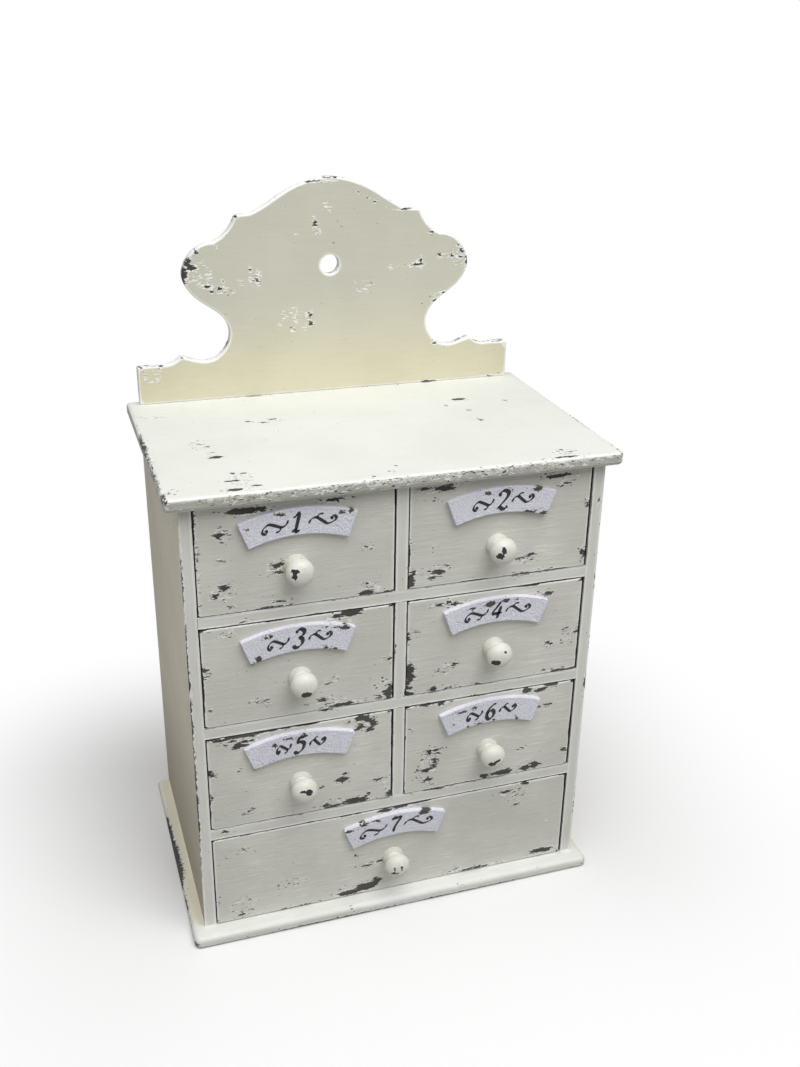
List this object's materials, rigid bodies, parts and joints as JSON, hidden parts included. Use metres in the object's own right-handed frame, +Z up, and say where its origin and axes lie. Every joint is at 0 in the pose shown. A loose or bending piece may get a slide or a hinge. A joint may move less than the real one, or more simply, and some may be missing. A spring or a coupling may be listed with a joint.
{
  "type": "spice drawer cabinet",
  "caption": "Tabletop cabinet of small inset drawers in a painted carcass, with a fretted crest board that has a hanging hole.",
  "frame": {"origin": "middle of the base board's underside", "axes": "+Z up, +X to the right seen from the front, -Y out of the drawer fronts"},
  "size_m": [0.338, 0.2246, 0.5535],
  "materials": {
    "painted_wood": "chalky cream paint, chipped at the edges to a dark undercoat",
    "drawer_wood": "bare softwood, sanded",
    "panel_board": "thin plywood, unpainted",
    "knob_paint": "cream paint with a low sheen, small chips",
    "label_paint": "rough pale lavender-white paint with dark painted numerals",
    "screw_steel": "zinc-plated"
  },
  "bodies": {
    "cabinet": {"top_board": "painted_wood", "crest_board": "painted_wood", "base_board": "painted_wood", "side_panel_left": "painted_wood", "side_panel_right": "painted_wood", "centre_divider": "painted_wood", "shelf_upper": "painted_wood", "shelf_middle": "painted_wood", "shelf_lower": "painted_wood", "back_panel": "panel_board", "carcass_screws": "screw_steel"},
    "drawer_1": {"drawer_1_front": "painted_wood", "drawer_1_sides": "drawer_wood", "drawer_1_back": "drawer_wood", "drawer_1_bottom": "panel_board", "drawer_1_knob": "knob_paint", "drawer_1_knob_screw": "screw_steel", "drawer_1_label": "label_paint"},
    "drawer_2": {"drawer_2_front": "painted_wood", "drawer_2_sides": "drawer_wood", "drawer_2_back": "drawer_wood", "drawer_2_bottom": "panel_board", "drawer_2_knob": "knob_paint", "drawer_2_knob_screw": "screw_steel", "drawer_2_label": "label_paint"},
    "drawer_3": {"drawer_3_front": "painted_wood", "drawer_3_sides": "drawer_wood", "drawer_3_back": "drawer_wood", "drawer_3_bottom": "panel_board", "drawer_3_knob": "knob_paint", "drawer_3_knob_screw": "screw_steel", "drawer_3_label": "label_paint"},
    "drawer_4": {"drawer_4_front": "painted_wood", "drawer_4_sides": "drawer_wood", "drawer_4_back": "drawer_wood", "drawer_4_bottom": "panel_board", "drawer_4_knob": "knob_paint", "drawer_4_knob_screw": "screw_steel", "drawer_4_label": "label_paint"},
    "drawer_5": {"drawer_5_front": "painted_wood", "drawer_5_sides": "drawer_wood", "drawer_5_back": "drawer_wood", "drawer_5_bottom": "panel_board", "drawer_5_knob": "knob_paint", "drawer_5_knob_screw": "screw_steel", "drawer_5_label": "label_paint"},
    "drawer_6": {"drawer_6_front": "painted_wood", "drawer_6_sides": "drawer_wood", "drawer_6_back": "drawer_wood", "drawer_6_bottom": "panel_board", "drawer_6_knob": "knob_paint", "drawer_6_knob_screw": "screw_steel", "drawer_6_label": "label_paint"},
    "drawer_7": {"drawer_7_front": "painted_wood", "drawer_7_sides": "drawer_wood", "drawer_7_back": "drawer_wood", "drawer_7_bottom": "panel_board", "drawer_7_knob": "knob_paint", "drawer_7_knob_screw": "screw_steel", "drawer_7_label": "label_paint"}
  },
  "joints": [
    {"name": "drawer_1_slide", "type": "slide", "parent": "cabinet", "child": "drawer_1", "axis": [0, -1, 0], "range_m": [0, 0.165]},
    {"name": "drawer_2_slide", "type": "slide", "parent": "cabinet", "child": "drawer_2", "axis": [0, -1, 0], "range_m": [0, 0.165]},
    {"name": "drawer_3_slide", "type": "slide", "parent": "cabinet", "child": "drawer_3", "axis": [0, -1, 0], "range_m": [0, 0.165]},
    {"name": "drawer_4_slide", "type": "slide", "parent": "cabinet", "child": "drawer_4", "axis": [0, -1, 0], "range_m": [0, 0.165]},
    {"name": "drawer_5_slide", "type": "slide", "parent": "cabinet", "child": "drawer_5", "axis": [0, -1, 0], "range_m": [0, 0.165]},
    {"name": "drawer_6_slide", "type": "slide", "parent": "cabinet", "child": "drawer_6", "axis": [0, -1, 0], "range_m": [0, 0.165]},
    {"name": "drawer_7_slide", "type": "slide", "parent": "cabinet", "child": "drawer_7", "axis": [0, -1, 0], "range_m": [0, 0.165]}
  ]
}
